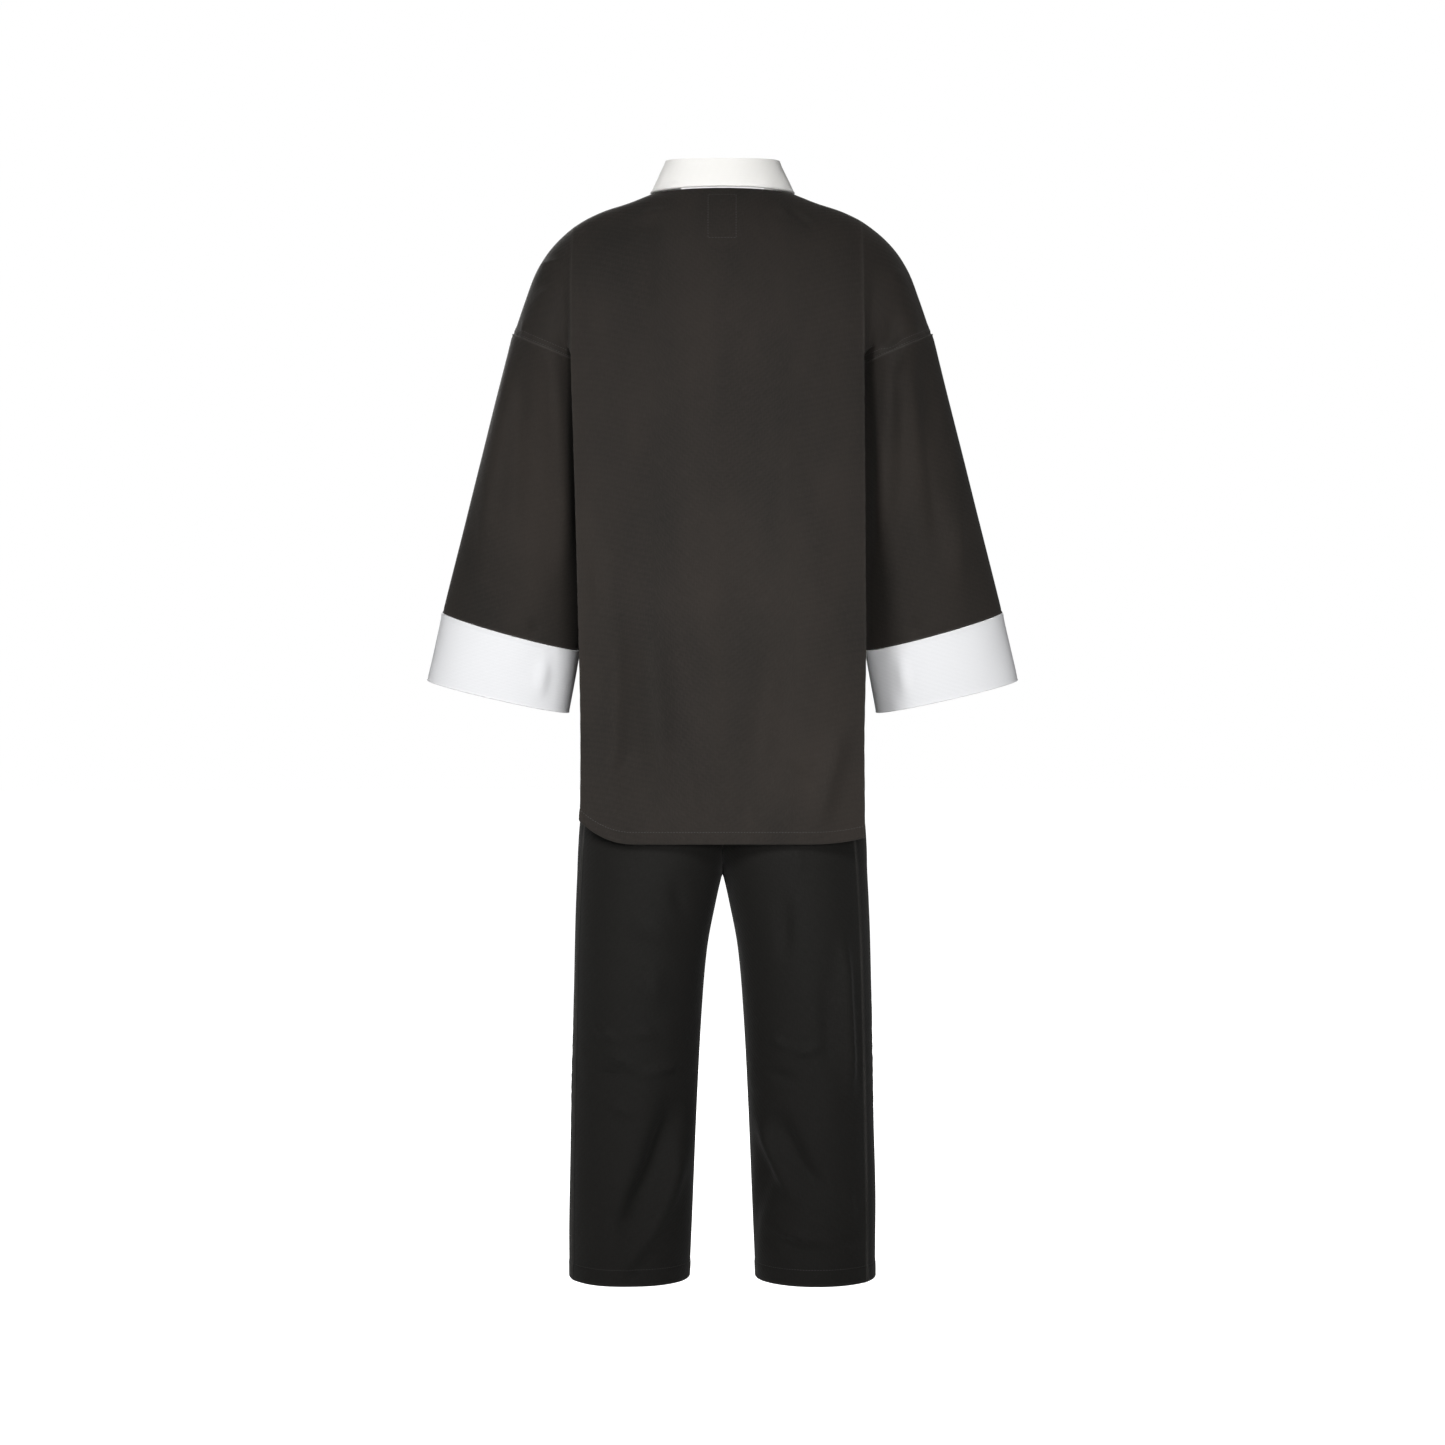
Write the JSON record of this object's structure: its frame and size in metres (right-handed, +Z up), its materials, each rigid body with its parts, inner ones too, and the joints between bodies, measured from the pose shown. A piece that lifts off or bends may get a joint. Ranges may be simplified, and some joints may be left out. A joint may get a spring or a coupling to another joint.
{
  "type": "tai chi uniform",
  "caption": "Tai chi uniform in hollow worn form: black jacket with white stand collar, wide white cuffs and knotted front closures, over straight black trousers.",
  "frame": {"origin": "in the middle of the neck opening, at the foot of the stand collar, where the wearer's shoulders hold the jacket up", "axes": "+Z up, +Y toward the wearer's back, +X toward the wearer's left hand"},
  "size_m": [0.7196, 0.2454, 1.337],
  "materials": {
    "jacket_cloth": "matt warm black twill",
    "trouser_cloth": "matt black twill",
    "white_trim": "matt white twill"
  },
  "bodies": {
    "root": {"jacket_back": "jacket_cloth", "jacket_front_left": "jacket_cloth", "jacket_front_right": "jacket_cloth", "sleeve_left": "jacket_cloth", "sleeve_right": "jacket_cloth", "collar": "white_trim", "cuff_left": "white_trim", "cuff_right": "white_trim", "frog_knot_1": "white_trim", "frog_loop_1": "white_trim", "frog_knot_2": "white_trim", "frog_loop_2": "white_trim", "frog_knot_3": "white_trim", "frog_loop_3": "white_trim", "frog_knot_4": "white_trim", "frog_loop_4": "white_trim", "frog_knot_5": "white_trim", "frog_loop_5": "white_trim", "frog_knot_6": "white_trim", "frog_loop_6": "white_trim", "frog_knot_7": "white_trim", "frog_loop_7": "white_trim", "waistband": "trouser_cloth", "trouser_back_left": "trouser_cloth", "trouser_back_right": "trouser_cloth", "trouser_front_left": "trouser_cloth", "trouser_front_right": "trouser_cloth"}
  },
  "joints": []
}
